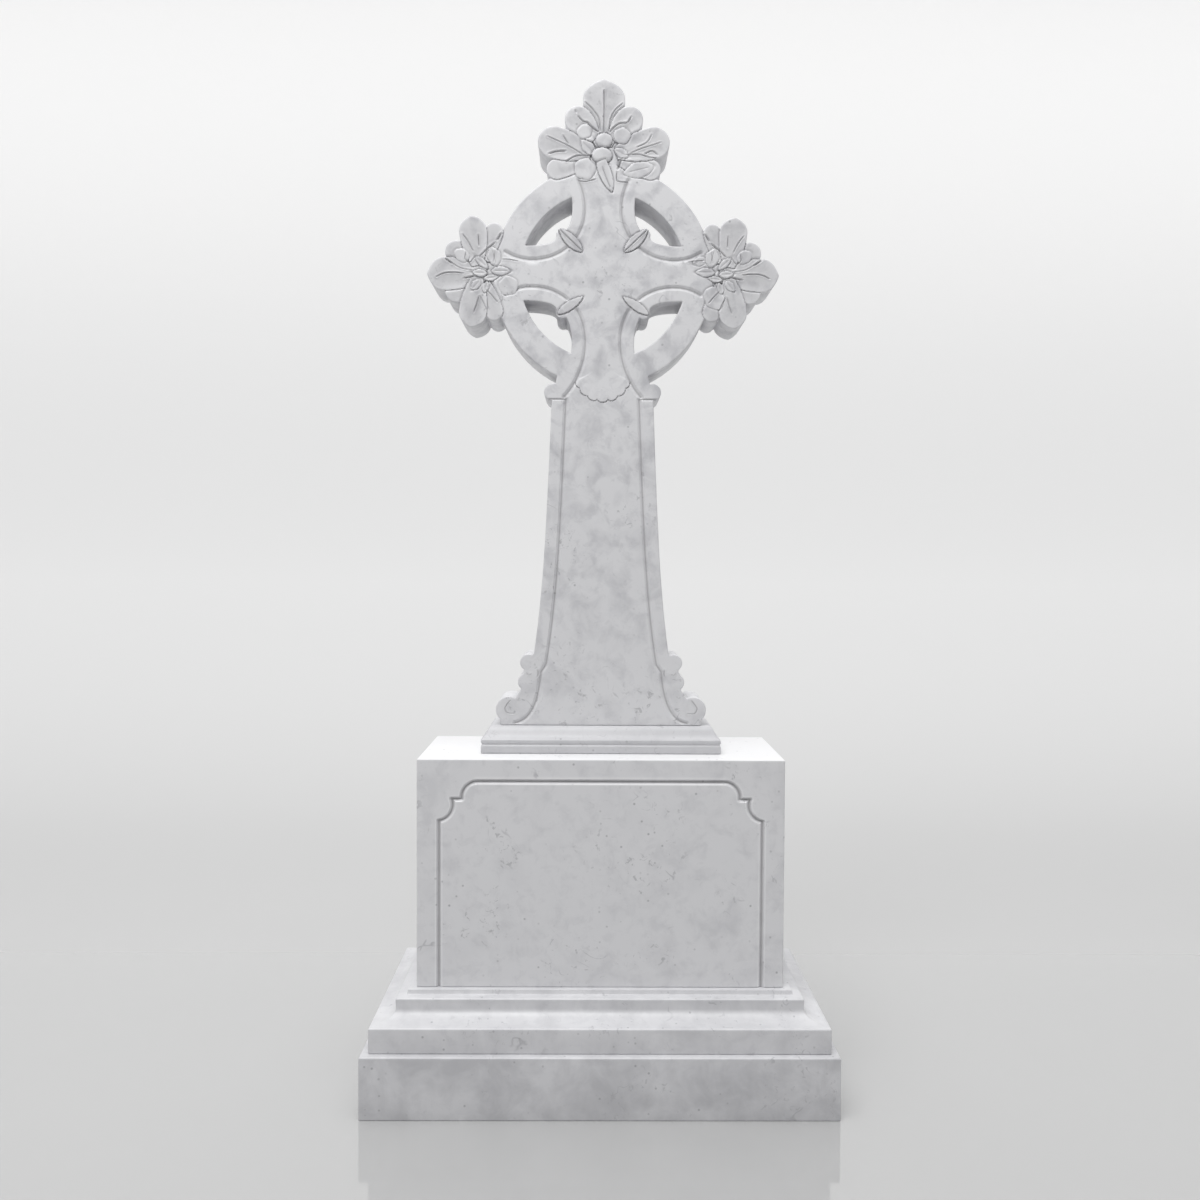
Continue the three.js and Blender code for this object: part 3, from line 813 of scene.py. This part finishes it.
def stone(name, node, width, depth, profile, base_z, across=None, sunk=None):
    """A rectangular stone: a profile of inset and height carried round four sides with
    eased upright corners. across gives the places of columns along the front, and sunk
    the depth of carving there."""
    if across is None:
        across = np.array([-1.0, 1.0])
    rows = []
    r = 1.6
    for inset, z in profile:
        hx, hy = width / 2 - inset, depth / 2 - inset
        x = across / np.abs(across).max() * (hx - r)
        y = np.full(x.shape, -hy)
        if sunk is not None:
            y = y + sunk(x, np.full(x.shape, z))
        ring = [np.column_stack([x, y])]
        for east, north, turn in ((1, -1, -90), (1, 1, 0), (-1, 1, 90), (-1, -1, 180)):
            ring.append(arc(east * (hx - r), north * (hy - r), r, turn, turn + 90, 4))
        ring[1], ring[4] = ring[1][1:], ring[4][:-1]
        ring = np.vstack(ring)
        rows.append(np.column_stack([ring, np.full(len(ring), z)]))
    count = len(rows[0])
    points = np.vstack(rows)
    points[:, 2] += base_z
    faces = [list(range(count))[::-1], [(len(rows) - 1) * count + k for k in range(count)]]
    ring = np.arange(count)
    for level in range(len(rows) - 1):
        faces += band(ring + (level + 1) * count, ring + level * count)
    hollow = None
    if sunk is not None:
        away = line_distance(np.abs(points[:, 0]), points[:, 2] - base_z, PANEL)
        # Painted shade in the border groove of the block's front and painted highlight on its lips.
        tone = groove_shade_and_highlight(away, 1.5 * PANEL_WIDTH, 1.0, 0.7)
        hollow = np.where(points[:, 1] < 0, tone, 0)
    return mesh_object(name, points, faces, node, 30, hollow)


def panel_line():
    """The border on the block's front, from the foot up round the stepped corner."""
    half, top = BLOCK_WIDTH / 2, BLOCK_HEIGHT
    x = half - PANEL_INSET
    scoop = arc(half - 34, top - 78.6, 27.7, 262, 158, 24)
    ovolo = arc(half - 105, top - 66, 28, -4, 90, 24)
    side, step, end = [(x, -30), (x, top - 106.3)], [(half - 77, top - 68.3)], [(-5, top - PANEL_INSET)]
    return np.vstack([side, scoop, step, ovolo, end])


PANEL = panel_line()


def panel_sunk(x, z):
    """Depth of the border groove on the block's front."""
    return channel(line_distance(np.abs(x), z, PANEL), PANEL_WIDTH, PANEL_SUNK)


def block_columns():
    """Columns across the block's front, close together where the border runs."""
    fine = np.arange(196, 292, GRID)
    sparse = np.linspace(0, 190, 14)
    outer = np.array([296, 304, 311, 314.4])
    right = np.concatenate([sparse, fine, outer])
    return np.concatenate([-right[:0:-1], right])


def block_profile():
    """The block's upright side as inset and height, with rows close together at the border."""
    heights = np.concatenate([np.linspace(2, 276, 18), np.arange(280, 362, GRID), [366, 374, 384, 391]])
    rows = [(0, z) for z in heights]
    return [(1.2, 0), (0.4, 0.5), (0, 1.3)] + rows + [(0, 392.2), (0.5, 393.5), (1.6, BLOCK_HEIGHT)]


def cove(start, steps=14):
    """Profile of the hollow: a quarter ellipse from level to upright."""
    turn = np.linspace(0, math.pi / 2, steps + 1)[1:]
    return [
        (start + (COVE_RUN - start) * math.sin(t), FASCIA + 0.5 + COVE_HEIGHT * (1 - math.cos(t)))
        for t in turn
    ]


def base_profile():
    """The moulded base as inset and height: fascia, hollow, upright band and low wash."""
    top = FASCIA + COVE_HEIGHT + BAND
    points = [(1, 0), (0, 1), (0, FASCIA - 2), (2, FASCIA), (6, FASCIA + 0.5)]
    points += cove(6)
    points += [(COVE_RUN - 1, top - 2), (COVE_RUN + 1, top)]
    points += [(COVE_RUN + 16, top + 1), (COVE_RUN + 18, top + WASH)]
    return rounded_profile(points, 1.2) + [(COVE_RUN + 19, top + WASH)]


def foot_profile():
    """The foot as inset and height: two bands with a groove between, then a slope that runs
    level at both ends, its height the run less a full sine wave."""
    points = [(1.5, 0), (0, 1.5), (0, 13), (2.2, 16), (0, 19), (0, FOOT_BAND - 2), (2, FOOT_BAND)]
    run = FOOT_RUN - 8
    for k in range(1, 11):
        t = k / 10
        swing = t - math.sin(2 * math.pi * t) / (4 * math.pi)
        points.append((2 + run * t, FOOT_BAND + (FOOT_HEIGHT - FOOT_BAND) * swing))
    return rounded_profile(points, 1.5)


def slab_profile():
    """The slab's upright side, with eased edges."""
    return rounded_profile(
        [(1.2, 0), (0, 1.2), (0, SLAB_HEIGHT - 2), (2, SLAB_HEIGHT), (6, SLAB_HEIGHT)], 1.5
    )


def marble():
    """Pale honed marble: grey clouds, a fine mottle, sparse dark specks and hair veins. The
    slab, base and foot have a tone by height that is painted shade, and the top of the block one
    that is a painted highlight. A per-corner attribute paints shade into cuts and highlight onto lips."""
    material = bpy.data.materials.new("honed_marble")
    material.use_nodes = True
    tree = material.node_tree
    tree.nodes.clear()

    def node(kind, **values):
        """A new node with its sockets or settings filled in."""
        made = tree.nodes.new(kind)
        for key, value in values.items():
            if key in made.inputs:
                made.inputs[key].default_value = value
            else:
                setattr(made, key, value)
        return made

    def link(a, b):
        """Joins an output to an input."""
        tree.links.new(a, b)

    def noise(scale, detail, rough, distortion=0.0):
        """Cloudy noise through the stone, around one half."""
        made = node("ShaderNodeTexNoise", Scale=scale, Detail=detail, Roughness=rough, Distortion=distortion)
        link(place.outputs["Object"], made.inputs["Vector"])
        return made.outputs["Fac"]

    def ramp(value, low, high, to_low=0.0, to_high=1.0):
        """A value carried evenly from one span to another and held at its ends."""
        made = node("ShaderNodeMapRange")
        made.inputs["From Min"].default_value = low
        made.inputs["From Max"].default_value = high
        made.inputs["To Min"].default_value = to_low
        made.inputs["To Max"].default_value = to_high
        link(value, made.inputs["Value"])
        return made.outputs["Result"]

    def mix(factor, a, b):
        """The first colour blended into the second by a factor."""
        made = node("ShaderNodeMix", data_type="RGBA")
        link(factor, made.inputs[0])
        for value, socket in ((a, made.inputs[6]), (b, made.inputs[7])):
            if isinstance(value, tuple):
                socket.default_value = value
            else:
                link(value, socket)
        return made.outputs[2]

    def times(a, b):
        """The product of a value and a value or number."""
        made = node("ShaderNodeMath", operation="MULTIPLY")
        link(a, made.inputs[0])
        if isinstance(b, float):
            made.inputs[1].default_value = b
        else:
            link(b, made.inputs[1])
        return made.outputs[0]

    def far_from(value, middle):
        """How far a value lies from a number: the absolute difference."""
        less = node("ShaderNodeMath", operation="SUBTRACT")
        link(value, less.inputs[0])
        less.inputs[1].default_value = middle
        size = node("ShaderNodeMath", operation="ABSOLUTE")
        link(less.outputs[0], size.inputs[0])
        return size.outputs[0]

    def step(at, before, after, half=0.0005):
        """A change of tone within about a millimetre of a height."""
        return ramp(height, at - half, at + half, before, after)

    place = node("ShaderNodeTexCoord")
    parts = node("ShaderNodeSeparateXYZ")
    link(place.outputs["Object"], parts.inputs[0])
    height = parts.outputs["Z"]
    light, grey, fleck = (0.71, 0.71, 0.727, 1), (0.47, 0.47, 0.495, 1), (0.48, 0.48, 0.505, 1)
    mark, vein_grey, speck = (0.33, 0.33, 0.345, 1), (0.32, 0.32, 0.34, 1), (0.25, 0.25, 0.265, 1)
    darker, bright = (0.42, 0.42, 0.44, 1), (0.93, 0.93, 0.94, 1)
    # Painted shade colour for cuts, then painted highlight colour for lips.
    cut, lip = (0.24, 0.235, 0.24, 1), (0.95, 0.95, 0.96, 1)
    clouds = times(ramp(noise(19.0, 5.0, 0.58, 0.5), 0.47, 0.68), ramp(height, 0.6, 1.2, 0.4, 1.25))
    broad = ramp(noise(2.6, 3.0, 0.5, 0.4), 0.42, 0.66)
    colour = mix(times(clouds, ramp(broad, 0.0, 1.0, 0.35, 0.8)), light, grey)
    mottle = ramp(noise(38.0, 5.0, 0.62, 0.4), 0.5, 0.68)
    colour = mix(times(mottle, ramp(height, 0.6, 1.2, 0.28, 0.6)), colour, fleck)
    marks = times(ramp(noise(70.0, 4.0, 0.7, 0.8), 0.6, 0.66), ramp(noise(8.5, 2.0, 0.5), 0.48, 0.6))
    colour = mix(times(marks, 0.55), colour, mark)
    patchy = ramp(noise(15.0, 4.0, 0.6, 0.4), 0.36, 0.64, 0.5, 1.45)
    # Heights in metres where one stone ends and the tone changes.
    slab_top, base_top, block_top, foot_top = 0.106, 0.1935, 0.587, 0.635
    # Painted shade: the slab and the base are given a deeper grey, the slab most, varied by the patchy
    # noise.
    low = times(step(slab_top, 0.5, 0.28), step(base_top, 1.0, 0.0))
    colour = mix(times(low, patchy), colour, darker)
    # Painted shade: the foot is given a deeper grey.
    foot = times(step(block_top, 0.0, 0.52), step(foot_top, 1.0, 0.0))
    colour = mix(foot, colour, darker)
    # Painted highlight: the top face of the block is near white.
    top = times(step(block_top - 0.0003, 0.0, 0.75), step(block_top + 0.0008, 1.0, 0.0, 0.0001))
    colour = mix(top, colour, bright)
    cells = node("ShaderNodeTexVoronoi", Scale=85.0)
    link(place.outputs["Object"], cells.inputs["Vector"])
    tint = node("ShaderNodeSeparateColor")
    link(cells.outputs["Color"], tint.inputs[0])
    dots = times(ramp(cells.outputs["Distance"], 0.1, 0.22, 1.0, 0.0), ramp(tint.outputs[0], 0.8, 0.85))
    dots = times(times(dots, 0.6), ramp(noise(11.0, 2.0, 0.5), 0.42, 0.56))
    colour = mix(dots, colour, speck)
    vein = ramp(far_from(noise(7.0, 3.0, 0.62, 0.6), 0.5), 0.0, 0.007, 1.0, 0.0)
    vein = times(vein, ramp(noise(17.0, 2.0, 0.5), 0.62, 0.67))
    colour = mix(times(vein, 0.5), colour, vein_grey)
    # Painted shade in cuts and painted highlight on lips, from the per-corner attribute.
    hollow = node("ShaderNodeAttribute", attribute_name="hollow")
    colour = mix(times(ramp(hollow.outputs["Fac"], 0.0, 1.0), 0.6), colour, cut)
    colour = mix(ramp(hollow.outputs["Fac"], -1.0, 0.0, 0.6, 0.0), colour, lip)
    shader = node("ShaderNodeBsdfPrincipled")
    link(colour, shader.inputs["Base Color"])
    link(ramp(noise(40.0, 4.0, 0.6), 0.3, 0.7, 0.36, 0.44), shader.inputs["Roughness"])
    shader.inputs["Specular IOR Level"].default_value = 0.6
    bump = node("ShaderNodeBump", Strength=0.08, Distance=0.0005)
    link(noise(260.0, 4.0, 0.6), bump.inputs["Height"])
    link(bump.outputs["Normal"], shader.inputs["Normal"])
    output = node("ShaderNodeOutputMaterial")
    link(shader.outputs[0], output.inputs["Surface"])
    return material


def backdrop_stuff():
    """Pale matte backdrop in Object coordinates: a tone of painted light and shade and the gloss fade with
    depth, and a glow of painted light grows with height.
    """
    material = bpy.data.materials.new("studio_floor")
    material.use_nodes = True
    tree = material.node_tree
    shader = tree.nodes["Principled BSDF"]
    place = tree.nodes.new("ShaderNodeTexCoord")
    parts = tree.nodes.new("ShaderNodeSeparateXYZ")
    tree.links.new(place.outputs["Object"], parts.inputs[0])

    def fade(value, low, high, start, end, smooth=True):
        """A value carried from one span to another, level at both ends if smooth."""
        made = tree.nodes.new("ShaderNodeMapRange")
        made.interpolation_type = "SMOOTHSTEP" if smooth else "LINEAR"
        for key, number in (("From Min", low), ("From Max", high), ("To Min", start), ("To Max", end)):
            made.inputs[key].default_value = number
        tree.links.new(value, made.inputs["Value"])
        return made.outputs["Result"]

    # Painted light and shade: the floor's colour is deep at the front and paler towards the back.
    tone = fade(parts.outputs["Y"], -0.5, 5.0, 0.43, 0.76, False)
    colour = tree.nodes.new("ShaderNodeCombineColor")
    for channel_name in ("Red", "Green", "Blue"):
        tree.links.new(tone, colour.inputs[channel_name])
    tree.links.new(colour.outputs[0], shader.inputs["Base Color"])
    tree.links.new(fade(parts.outputs["Y"], 0.1, 1.6, 0.06, 0.85), shader.inputs["Roughness"])
    tree.links.new(fade(parts.outputs["Y"], 0.0, 2.0, 1.0, 0.0), shader.inputs["Specular IOR Level"])
    shader.inputs["IOR"].default_value = 1.7
    # Painted light: the backdrop glows, more strongly with height, though it is no lamp.
    shader.inputs["Emission Color"].default_value = (1, 1, 1, 1)
    tree.links.new(fade(parts.outputs["Z"], 0.3, 5.6, 0.0, 0.44), shader.inputs["Emission Strength"])
    return material


def make_stage():
    """A floor that curves up into a backdrop, drawn as one profile carried sideways."""
    near, bend_start, radius, top, half_width, steps = -9.0, 2.0, 6.0, 12.0, 16.0, 32
    run = [(near, 0.0), (0.0, 0.0), (bend_start, 0.0)]
    for k in range(1, steps + 1):
        turn = k / steps * math.pi / 2
        run.append((bend_start + radius * math.sin(turn), radius * (1 - math.cos(turn))))
    run.append((bend_start + radius, top))
    points, faces = [], []
    for y, z in run:
        points += [(-half_width, y, z), (half_width, y, z)]
    for k in range(len(run) - 1):
        faces.append((2 * k, 2 * k + 1, 2 * k + 3, 2 * k + 2))
    mesh = bpy.data.meshes.new("floor")
    mesh.from_pydata(points, [], faces)
    mesh.shade_smooth()
    floor = bpy.data.objects.new("floor", mesh)
    bpy.context.scene.collection.objects.link(floor)
    floor.data.materials.append(backdrop_stuff())


def make_sun(name, tilt, turn, spread, power):
    """A broad soft light: tilt from straight above, turn from the front, both in degrees."""
    data = bpy.data.lights.new(name, "SUN")
    data.angle = math.radians(spread)
    data.energy = power
    light = bpy.data.objects.new(name, data)
    light.rotation_euler = (math.radians(tilt), 0, math.radians(turn))
    bpy.context.scene.collection.objects.link(light)


def make_lights():
    """Even light from all round, a broad sun from above and a soft lamp in front."""
    world = bpy.data.worlds.new("studio")
    world.use_nodes = True
    world.node_tree.nodes["Background"].inputs["Color"].default_value = (1, 1, 1, 1)
    world.node_tree.nodes["Background"].inputs["Strength"].default_value = 0.4
    bpy.context.scene.world = world
    make_sun("above", tilt=10, turn=-15, spread=60, power=1.85)
    data = bpy.data.lights.new("front", "AREA")
    data.size = 1.4
    data.energy = 28
    light = bpy.data.objects.new("front", data)
    light.location = (-0.6, -1.6, 3.0)
    light.rotation_euler = (Vector((0, 0, 0.9)) - light.location).to_track_quat("-Z", "Y").to_euler()
    bpy.context.scene.collection.objects.link(light)
    bpy.context.scene.view_settings.view_transform = "Standard"


levels = [0.0]
for high in (SLAB_HEIGHT, FASCIA + COVE_HEIGHT + BAND + WASH, BLOCK_HEIGHT, FOOT_HEIGHT):
    levels.append(levels[-1] + high + BED)
fascia_width = BLOCK_WIDTH + 2 * (BASE_LEDGE + COVE_RUN)
fascia_depth = BLOCK_DEPTH + 2 * (BASE_LEDGE + COVE_RUN)
slab_depth = fascia_depth + 2 * SLAB_LEDGE
foot_depth = THICK + 2 * FOOT_RUN

pieces = [
    stone("bottom_slab_stone", "bottom_slab", SLAB_WIDTH, slab_depth, slab_profile(), levels[0]),
    stone("moulded_base_stone", "moulded_base", fascia_width, fascia_depth, base_profile(), levels[1]),
    stone(
        "die_block_stone", "die_block", BLOCK_WIDTH, BLOCK_DEPTH, block_profile(), levels[2],
        block_columns(), panel_sunk,
    ),
    stone("cross_foot_stone", "cross_foot", FOOT_WIDTH, foot_depth, foot_profile(), levels[3]),
    carved_cross(levels[4]),
]
surface = marble()
for piece in pieces:
    piece.data.materials.append(surface)
    print(piece.name, len(piece.data.vertices), len(piece.data.polygons))

make_stage()
make_lights()
